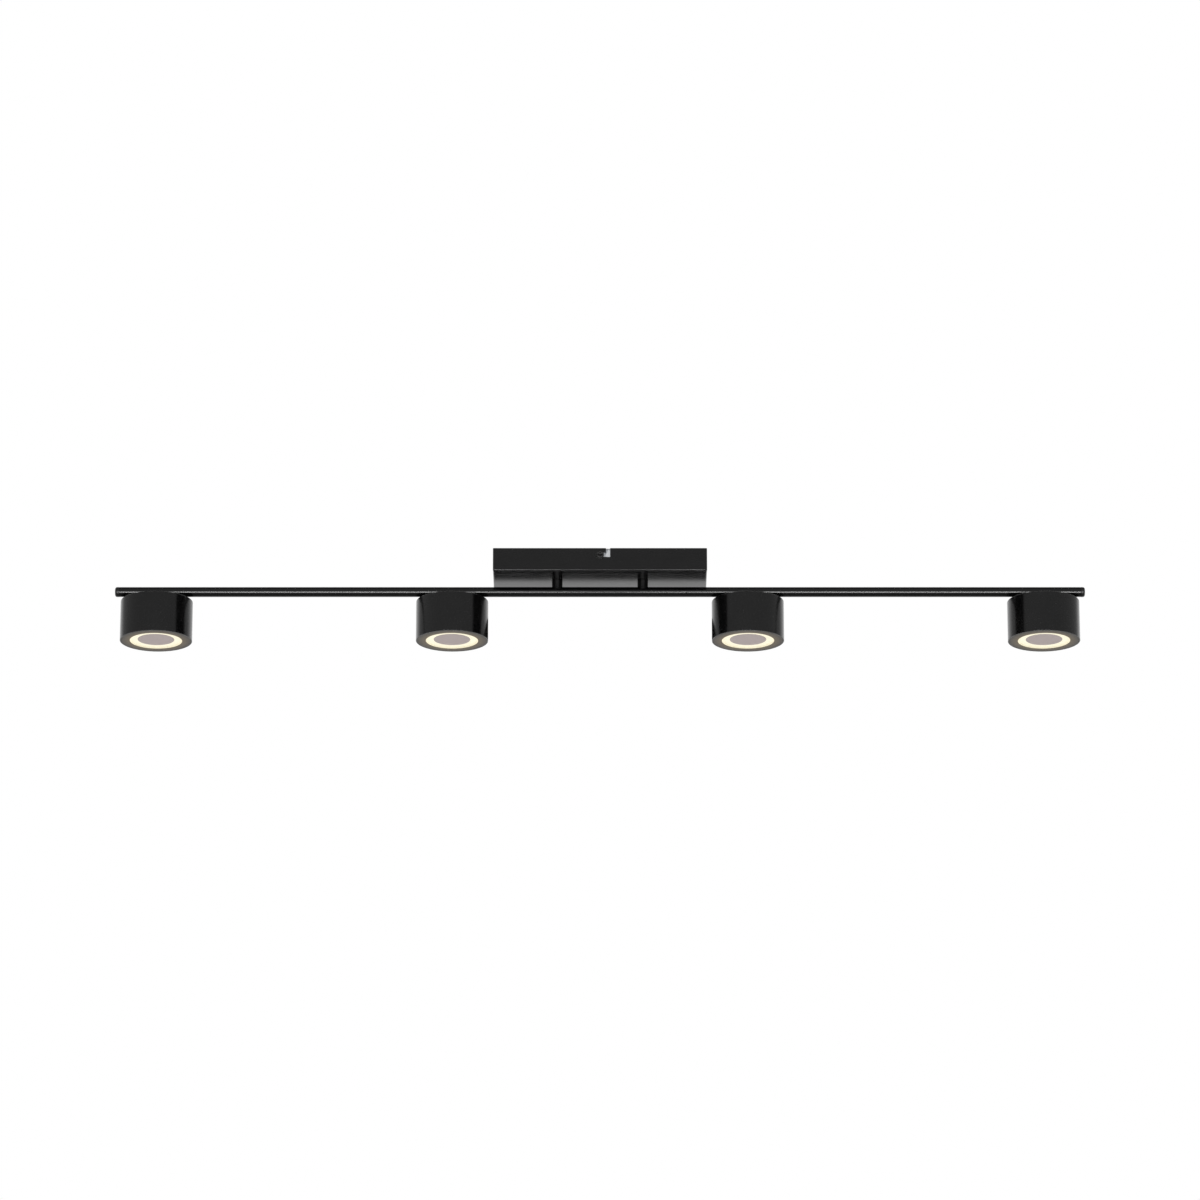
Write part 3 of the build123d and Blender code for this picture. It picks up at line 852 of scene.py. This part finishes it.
def housingMesh(centre):
    outer = head["radius"]
    top = head["height"]
    bore = outer - head["sideWall"]
    corners = [
        (0, top - head["topWall"], 0),
        (bore, top - head["topWall"], 0.5 * mm),
        (bore, head["rimStep"], 0.1 * mm),
        (outer - head["rimWall"], head["rimStep"], 0.1 * mm),
        (outer - head["rimWall"], 0, head["rimEdge"]),
        (outer, 0, head["rimEdge"]),
        (outer, top, head["topEdge"]),
        (0, top, 0),
    ]
    shell = turned(corners, "head_paint", centre, segments=head["segments"])
    half = head["slotLength"] / 2 - head["slotWidth"] / 2
    radius = head["slotWidth"] / 2
    outline = circlePoints(radius, 17, (0, half), 0, pi * 17 / 16)
    outline += circlePoints(radius, 17, (0, -half), pi, pi * 17 / 16)
    outline = [(centre[0] + x, centre[1] + y) for x, y in outline]
    above = centre[2] + top
    slot = prism(outline, above - 2 * head["topWall"], above + 1 * mm, "head_paint")
    return softened(carved(shell, slot), 0.0, 35)


def bezelMesh(centre):
    outer = head["radius"] - head["rimWall"] - bezel["gap"]
    skirt = head["radius"] - head["sideWall"] - bezel["gap"]
    step = head["rimStep"] - bezel["gap"]
    corners = [
        (bezel["aperture"], 0, bezel["edge"]),
        (outer, 0, bezel["edge"]),
        (outer, step, 0),
        (skirt, step, 0),
        (skirt, bezel["skirtTop"], 0.2 * mm),
        (skirt - bezel["skirtWall"], bezel["skirtTop"], 0.2 * mm),
        (skirt - bezel["skirtWall"], bezel["plate"], 0.2 * mm),
        (bezel["aperture"], bezel["plate"], 0),
    ]
    return softened(turned(corners, "bezel_grey", centre, segments=head["segments"]), 0.0, 35)


def lensMesh(centre):
    edge = 0.2 * mm
    inner = lens["radius"] - lens["rimWidth"]
    pocket = disc["radius"] + bezel["gap"]
    corners = [
        (0, lens["pocket"], 0),
        (pocket, lens["pocket"], 0),
        (pocket, lens["recess"], 0.1 * mm),
        (inner, lens["recess"], 0.3 * mm),
        (inner, lens["rimBottom"], edge),
        (lens["radius"], lens["rimBottom"], edge),
        (lens["radius"], lens["flangeBottom"], 0),
        (lens["flange"], lens["flangeBottom"], edge),
        (lens["flange"], lens["top"], edge),
        (0, lens["top"], 0),
    ]
    return softened(turned(corners, "opal_lens", centre, segments=head["segments"]), 0.0, 35)


def discMesh(centre):
    corners = [
        (0, disc["recess"], 0),
        (disc["radius"], disc["recess"], disc["edge"]),
        (disc["radius"], disc["top"], 0.1 * mm),
        (0, disc["top"], 0),
    ]
    return softened(turned(corners, "disc_satin", centre, segments=144), 0.0, 35)


for number in headNumbers:
    body = f"head_{number}"
    node = f"head_{number}_"
    low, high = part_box(node + "housing")
    foot = ((low.x + high.x) / 2, (low.y + high.y) / 2, low.z)
    addPiece(f"spot_{number}_housing", housingMesh(foot), body, "head_paint", node + "housing")
    addPiece(f"spot_{number}_bezel", bezelMesh(foot), body, "bezel_grey", node + "bezel")
    addPiece(f"spot_{number}_lens", lensMesh(foot), body, "opal_lens", node + "diffuser")
    addPiece(f"spot_{number}_disc", discMesh(foot), body, "disc_satin", node + "centre_disc")
    paintNode(node + "led_board", "board_white")
    paintNode(node + "hinge_bracket", "galvanised_steel")
    paintNode(node + "tilt_pins", "bright_screw")
    paintNode(node + "screws", "bright_screw")
    stem = f"stem_{number}_"
    yoke = refined(stem + "yoke", "stem_black", 0.12 * mm)
    addPiece(f"spot_{number}_yoke", yoke, f"stem_{number}", "stem_black", stem + "yoke")
    paintNode(stem + "clip", "bright_screw")
    paintNode(stem + "lead", "wire_sheath")
print("spot heads made")

# Bar, end plugs and posts

bar = {
    "radius": sizeOf("bar_tube").z / 2,
    "wall": 1.0 * mm,
    "edge": 0.25 * mm,
    "loops": 50,
    "segments": 64,
}
plug = {"head": 4.0 * mm, "round": 2.4 * mm, "stub": 9.0 * mm, "gap": 0.02 * mm}
post = {
    "radius": sizeOf("post_left").x / 2,
    "bore": 2.5 * mm,
    "thread": 4.0 * mm,
    "threadDepth": 0.45 * mm,
    "threadPitch": 1.25 * mm,
    "threadLength": 9.0 * mm,
    "runIn": 1.0 * mm,  # plain neck between the shoulder and the thread
    "runOut": 0.4 * mm,
    "copeReach": 8.0 * mm,
}
barCentre = centreOf("bar_tube")
alongX = (0, radians(90), 0)


def barMesh():
    half = sizeOf("bar_tube").x / 2
    outer = bar["radius"]
    inner = outer - bar["wall"]
    loops = bar["loops"]
    heights = [half - 2 * half * n / loops for n in range(loops + 1)]
    corners = [(inner, -height, 0) for height in heights]
    corners[0] = (inner, -half, 0.1 * mm)
    corners[-1] = (inner, half, 0.1 * mm)
    outside = [(outer, height, 0) for height in heights]
    outside[0] = (outer, half, bar["edge"])
    outside[-1] = (outer, -half, bar["edge"])
    tube = turned(corners + outside, "bar_paint", barCentre, alongX, bar["segments"], 3)
    return softened(tube, 0.0, 35)


def plugMesh(side):
    low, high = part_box("end_plug_right" if side > 0 else "end_plug_left")
    face = (high.x - plug["head"]) if side > 0 else (low.x + plug["head"])
    stub = bar["radius"] - bar["wall"] - plug["gap"]
    corners = [
        (0, -plug["stub"], 0),
        (stub, -plug["stub"], 0.6 * mm),
        (stub, 0, 0),
        (bar["radius"], 0, bar["edge"]),
        (bar["radius"], plug["head"], plug["round"]),
        (0, plug["head"], 0),
    ]
    centre = (face, barCentre.y, barCentre.z)
    tip = (0, side * radians(90), 0)
    return softened(turned(corners, "plug_black", centre, tip, 64, 8), 0.0, 35)


# Hollow post, coped over the bar, with its thread rising through the canopy's floor
def postMesh(node):
    low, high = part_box(node)
    centre = ((low.x + high.x) / 2, (low.y + high.y) / 2, 0)
    shoulder = high.z - post["threadLength"]
    start = shoulder + post["runIn"]
    end = high.z - post["runOut"]
    thread = threadCorners(post["thread"], post["threadDepth"], start, end, post["threadPitch"])
    corners = [
        (post["bore"], low.z, 0),
        (post["radius"], low.z, 0),
        (post["radius"], shoulder, 0.3 * mm),
        (post["thread"] - post["threadDepth"], shoulder, 0),
        *thread,
        (post["thread"] - 0.8 * mm, high.z, 0.1 * mm),
        (post["bore"], high.z, 0.1 * mm),
    ]
    tube = turned(corners, "post_paint", centre, segments=64)
    reach = post["copeReach"]
    cope = bar["radius"] + plug["gap"]
    rod = [(0, -reach, 0), (cope, -reach, 0), (cope, reach, 0), (0, reach, 0)]
    saddle = turned(rod, "post_paint", (centre[0], centre[1], barCentre.z), alongX, 96)
    return softened(carved(tube, saddle), 0.0, 35)


addPiece("rail_bar", barMesh(), "root", "bar_paint", "bar_tube")
for side, node in ((-1, "end_plug_left"), (1, "end_plug_right")):
    addPiece("rail_" + node, plugMesh(side), "root", "plug_black", node)
# The posts have the bar's paint, drawn duller than the bar
for node in ("post_left", "post_right"):
    addPiece("rail_" + node, postMesh(node), "root", "bar_paint", node)
bushes = refined("swivel_bushes", "stem_black", 0.12 * mm)
addPiece("rail_bushes", bushes, "root", "stem_black", "swivel_bushes")
print("bar made")

# Canopy and what it holds

coverScrew = {
    "head": sizeOf("cover_screws").x / 2,
    "height": 2.4 * mm,
    "shank": 2.0 * mm,
    "length": 6.0 * mm,
    "pitch": 0.7 * mm,
    "threadDepth": 0.3 * mm,
    "runIn": 0.6 * mm,
    "round": 0.8 * mm,
    "knurls": 32,
    "knurl": 0.25 * mm,
    "knurlWidth": 0.3 * mm,
    "knurlBase": 0.3 * mm,
    "knurlTop": 1.5 * mm,
    "cross": 4.2 * mm,
    "crossWidth": 0.9 * mm,
    "crossDepth": 1.3 * mm,
}
clamp = {
    "across": 9.0 * mm,  # between the two screws of a pole
    "poles": 3,
    "pitch": 9.4 * mm,
    "well": 4.0 * mm,
    "screw": 1.75 * mm,
    "screwHeight": 1.7 * mm,
    "slot": 0.6 * mm,
    "tubeLevel": 5.0 * mm,
    "tube": 1.86 * mm,
    "tubeBore": 1.35 * mm,
    "tubeLength": 15.0 * mm,
}
lid = {
    "frame": 4.5 * mm,
    "sunk": 0.4 * mm,
    "ribs": 9,
    "rib": 1.0 * mm,
    "ribGap": 1.0 * mm,
    "bite": 0.1 * mm,  # what ribs and screws go into the lid
    "screw": 1.7 * mm,
    "screwHeight": 0.7 * mm,
    "screwSlot": 0.5 * mm,
    "inset": 3.2 * mm,
}


# Pan head with a knurled rim and a cross recess, standing on its threaded shank
def coverScrewMesh(side):
    size = coverScrew
    rim = size["head"] - size["knurl"]
    core = size["shank"] - size["threadDepth"]
    start = -size["length"] + size["runIn"]
    corners = [
        (0, -size["length"], 0),
        (core, -size["length"], 0.2 * mm),
        *threadCorners(size["shank"], size["threadDepth"], start, -size["runIn"], size["pitch"]),
        (core, 0, 0),
        (rim, 0, 0.1 * mm),
        (rim - 0.1 * mm, size["height"], size["round"]),
        (0, size["height"], 0),
    ]
    screw = turned(corners, "black_screw", segments=64)
    long = size["cross"] / 2
    short = size["crossWidth"] / 2
    for x, y in ((long, short), (short, long)):
        bottom = size["height"] - size["crossDepth"]
        recess = block((-x, -y, bottom), (x, y, size["height"] + 1 * mm), "black_screw")
        screw = carved(screw, recess)
    half = size["knurlWidth"] / 2
    low = (-0.4 * mm, -half, size["knurlBase"])
    high = (size["knurl"] * 0.9, half, size["knurlTop"])
    rib = block(low, high, "black_screw")
    knurls = Recipe.run(ringing, rib, "black_screw", Count=size["knurls"], Radius=rim)
    whole = together(screw, knurls)
    reach = sizeOf("cover_screws").y / 2 - size["height"]
    place = Vector((0, side * reach, centreOf("cover_screws").z))
    whole.transform(Matrix.Translation(place) @ Matrix.Rotation(-side * pi / 2, 4, "X"))
    return softened(whole, 0.0, 35)


# Brass clamps of the terminal block: a slotted screw in every well and a tube through every pole
def clampMeshes():
    low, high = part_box("terminal_block")
    middle = (low + high) / 2
    top = clamp["screwHeight"]
    radius = clamp["screw"]
    corners = [(0, 0, 0), (radius, 0, 0), (radius, top, 0.3 * mm), (0, top, 0)]
    screw = turned(corners, "brass", segments=32)
    half = clamp["slot"] / 2
    screw = carved(screw, block((-2 * mm, -half, top / 2), (2 * mm, half, 2 * top), "brass"))
    depth = clamp["pitch"] * (clamp["poles"] - 1)
    screws = Recipe.run(
        rowing,
        screw,
        "brass",
        Columns=2,
        Rows=clamp["poles"],
        Width=clamp["across"],
        Depth=depth,
        Centre=(middle.x, middle.y, high.z - clamp["well"]),
    )
    end = clamp["tubeLength"] / 2
    bore = clamp["tubeBore"]
    outside = clamp["tube"]
    corners = [(bore, -end, 0), (outside, -end, 0), (outside, end, 0), (bore, end, 0)]
    ring = turned(corners, "brass", segments=32)
    tubes = Recipe.run(
        rowing,
        ring,
        "brass",
        Rows=clamp["poles"],
        Depth=depth,
        Tip=alongX,
        Centre=(middle.x, middle.y, low.z + clamp["tubeLevel"]),
    )
    return screws, tubes


# Driver lid with a sunken panel, ribs on it and a screw at each corner
def lidMesh():
    low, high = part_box("driver_lid")
    size = high - low
    frameWidth = lid["frame"]
    panelLow = (low.x + frameWidth, low.y + frameWidth, high.z - lid["sunk"])
    panelHigh = (high.x - frameWidth, high.y - frameWidth, high.z + 1 * mm)
    sunkPanel = block(panelLow, panelHigh, "driver_plastic")
    plate = carved(refined("driver_lid", "driver_plastic", 0.0), sunkPanel)
    half = size.y / 2 - frameWidth - lid["ribGap"]
    ribLow = (-lid["rib"] / 2, -half, -lid["bite"])
    ribHigh = (lid["rib"] / 2, half, lid["sunk"] * 0.8)
    rib = block(ribLow, ribHigh, "driver_plastic")
    centre = (low + high) / 2
    panel = (centre.x, centre.y, high.z - lid["sunk"])
    width = size.x - 2 * frameWidth - 4 * mm
    ribs = Recipe.run(rowing, rib, "driver_plastic", Columns=lid["ribs"], Width=width, Centre=panel)
    radius = lid["screw"]
    top = lid["screwHeight"]
    corners = [(0, -lid["bite"], 0), (radius, -lid["bite"], 0), (radius, top, 0.4 * mm), (0, top, 0)]
    screw = turned(corners, "bright_screw", segments=32)
    half = lid["screwSlot"] / 2
    slot = block((-half, -2 * mm, 0.3 * mm), (half, 2 * mm, 1 * mm), "bright_screw")
    screws = Recipe.run(
        rowing,
        carved(screw, slot),
        "bright_screw",
        Columns=2,
        Rows=2,
        Width=size.x - 2 * lid["inset"],
        Depth=size.y - 2 * lid["inset"],
        Centre=(centre.x, centre.y, high.z),
    )
    return softened(together(plate, ribs, screws), 0.12 * mm, 40)


addRefined("canopy_cover", "canopy_paint", 0.12 * mm, "canopy_cover_shell", 50)
addRefined("ceiling_bracket", "galvanised_steel", 0.2 * mm, "canopy_bracket")
blockShell = together(refined("terminal_block", "terminal_plastic", 0.25 * mm), *clampMeshes())
addPiece("canopy_terminal_block", softened(blockShell), "root", "terminal_plastic", "terminal_block")
addRefined("driver_case", "driver_plastic", 0.25 * mm, "canopy_driver_case")
addPiece("canopy_driver_lid", lidMesh(), "root", "driver_plastic", "driver_lid")
screws = together(coverScrewMesh(-1), coverScrewMesh(1))
addPiece("canopy_screws", softened(screws, 0.0, 35), "root", "black_screw", "cover_screws")
addRefined("earth_screw", "brass", 0.12 * mm, "canopy_earth_screw")
addRefined("post_nuts", "bright_screw", 0.2 * mm, "canopy_post_nuts")
addRefined("harness_wires", "wire_sheath", 0.0, "canopy_harness", 60)
addRefined("mains_wires", "wire_sheath", 0.0, "canopy_mains", 60, "mains_sheath")
print("canopy made")

# Studio

studio = {
    "distance": 6.0,  # camera to the aim
    "below": radians(17.8),  # the camera looks up at the lamp
    "frameWidth": 1.2,  # what the square picture spans at the aim
    "aimDrop": 8.3 * mm,  # below the bar's axis
    "sensor": 36.0,
    "floor": -5.6,  # its height, far below the lamp
    "floorHalf": 12.0,
    "floorColour": (0.86, 0.86, 0.85),
}
# Strength of the world's light from each side, as paint mirrors it and as it lights matt surfaces
light = {
    "mirroredAll": 0.13,
    "mirroredHorizon": 0.3,
    "mirroredBack": 0.58,
    "softAll": 0.05,
    "softBack": 0.95,
    "softFront": 0.3,
    "softAbove": 1.5,
}
# Two strip lamps in front, one on each side
strip = {
    "side": 0.72,
    "front": -2.3,
    "height": -0.78,
    "aimHeight": -0.05,
    "width": 1.3,
    "depth": 0.4,
    "power": 30,
}

# Black cards seen only in reflections. One behind the bar darkens the front of the canopy's underside,
# and one beside each head, on the side of the lamp's middle, puts a dark line down its paint.
flag = {
    "behind": 60 * mm,  # the back card, behind the bar
    "edge": -2 * mm,  # the underside is dark in front of this line
    "margin": 14 * mm,
    "beside": 62 * mm,  # the side cards, from a head's axis
    "front": -43 * mm,
    "rear": -11 * mm,
    "bottom": -80 * mm,
    "top": -30 * mm,
}


# A strip lamp that doesn't light matt surfaces, so that they keep the even light of the world
def addStrip(side):
    lamp = bpy.data.lights.new("frontStrip", "AREA")
    lamp.shape = "RECTANGLE"
    lamp.size = strip["width"]
    lamp.size_y = strip["depth"]
    lamp.energy = strip["power"]
    holder = bpy.data.objects.new("frontStrip", lamp)
    place = Vector((side * strip["side"], strip["front"], strip["height"]))
    aim = Vector((side * strip["side"], 0, strip["aimHeight"]))
    holder.location = place
    holder.rotation_euler = (aim - place).to_track_quat("-Z", "Y").to_euler()
    holder.visible_diffuse = False
    bpy.context.scene.collection.objects.link(holder)


# White behind the lamp. Glossy paint mirrors a dimmer studio than the one that lights matt surfaces.
def makeWorld():
    world = bpy.data.worlds.new("studio")
    bpy.context.scene.world = world
    world.use_nodes = True
    world.cycles.sampling_method = "NONE"
    sky = Bench(world.node_tree)
    _, back, up = sky.apart(sky.node("ShaderNodeTexCoord", output="Generated"))
    horizon = (1 - abs(up)).rise(0.05, 0.25)
    mirrored = light["mirroredAll"] + light["mirroredHorizon"] * horizon
    mirrored = mirrored + light["mirroredBack"] * back.rise(0.45, 0.85)
    soft = light["softAll"] + light["softBack"] * back.rise(0.1, 0.55)
    soft = soft + light["softFront"] * (-back).rise(0.45, 0.9)
    soft = soft + light["softAbove"] * up.rise(0.45, 0.8)
    seen = sky.node("ShaderNodeLightPath", output="Is Camera Ray")
    glossy = seen.beside("Is Glossy Ray")
    strength = seen + (1 - seen) * (glossy * mirrored + (1 - glossy) * soft)
    glow = sky.node("ShaderNodeBackground", {}, {"Color": (1, 1, 1, 1), "Strength": strength})
    sky.node("ShaderNodeOutputWorld", {}, {"Surface": glow})


# White paper on the floor. Paint doesn't mirror it, since it would be brighter than the world there.
def makeFloor():
    paper = Finish("floor_paper")
    fibre = paper.noise(paper.where, 4 * mm, 3.0)
    shade = tuple(0.97 * part for part in studio["floorColour"])
    colour = paper.mixColour(fibre, shade, studio["floorColour"])
    paper.done(colour, 0.7 + fibre * 0.1, fibre * 1e-5)
    half = studio["floorHalf"]
    corners = [(-half, -half), (half, -half), (half, half), (-half, half)]
    mesh = bpy.data.meshes.new("floor")
    mesh.from_pydata([(x, y, studio["floor"]) for x, y in corners], [], [(0, 1, 2, 3)])
    mesh.materials.append(paper.material)
    floor = bpy.data.objects.new("floor", mesh)
    bpy.context.scene.collection.objects.link(floor)
    floor.visible_glossy = False


def makeCamera():
    aim = Vector((0, 0, barCentre.z - studio["aimDrop"]))
    back = Vector((0, -cos(studio["below"]), -sin(studio["below"])))
    eye = bpy.data.cameras.new("camera")
    eye.sensor_width = studio["sensor"]
    eye.lens = studio["sensor"] * studio["distance"] / studio["frameWidth"]
    eye.clip_start = 0.01
    holder = bpy.data.objects.new("camera", eye)
    holder.location = aim + back * studio["distance"]
    holder.rotation_euler = (-back).to_track_quat("-Z", "Y").to_euler()
    bpy.context.scene.collection.objects.link(holder)
    bpy.context.scene.camera = holder


def makeFlags():
    felt = Finish("flag_felt")
    nap = felt.noise(felt.where, 1 * mm, 3.0)
    colour = felt.mixColour(nap, (0.002, 0.002, 0.002), (0.004, 0.004, 0.004))
    black = felt.node("ShaderNodeBsdfDiffuse", {}, {"Color": colour})
    clear = felt.node("ShaderNodeBsdfTransparent")
    rear = felt.node("ShaderNodeNewGeometry", output="Backfacing")
    surface = felt.node("ShaderNodeMixShader", {}, {0: rear, 1: black, 2: clear})
    felt.node("ShaderNodeOutputMaterial", {}, {"Surface": surface})
    low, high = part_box("canopy_cover")
    back = flag["behind"]
    slope = sin(studio["below"]) / cos(studio["below"])
    top = low.z - slope * (back - flag["edge"])
    bottom = low.z - slope * (back - low.y) - flag["margin"]
    half = high.x + flag["margin"]
    cards = [[(-half, back, bottom), (half, back, bottom), (half, back, top), (-half, back, top)]]
    for number in headNumbers:
        middle = centreOf(f"head_{number}_housing").x
        inwards = -1 if middle > 0 else 1
        place = middle + inwards * flag["beside"]
        # Edge on to the camera's rays, so that the bar doesn't show it, and black only towards its head
        depths = (flag["front"], flag["rear"])[::inwards]
        ends = [(place * (1 - y / studio["distance"]), y) for y in depths]
        upper = [(x, y, flag["top"]) for x, y in ends]
        lower = [(x, y, flag["bottom"]) for x, y in ends[::-1]]
        cards.append(upper + lower)
    corners = [corner for card in cards for corner in card]
    faces = [tuple(range(4 * n, 4 * n + 4)) for n in range(len(cards))]
    mesh = bpy.data.meshes.new("flags")
    mesh.from_pydata(corners, [], faces)
    mesh.materials.append(felt.material)
    holder = bpy.data.objects.new("flags", mesh)
    bpy.context.scene.collection.objects.link(holder)
    for way in ("camera", "diffuse", "transmission", "volume_scatter", "shadow"):
        setattr(holder, "visible_" + way, False)


makeWorld()
makeFloor()
makeFlags()
makeCamera()
for side in (-1, 1):
    addStrip(side)
bpy.context.scene.view_settings.view_transform = "Standard"
print("studio made")
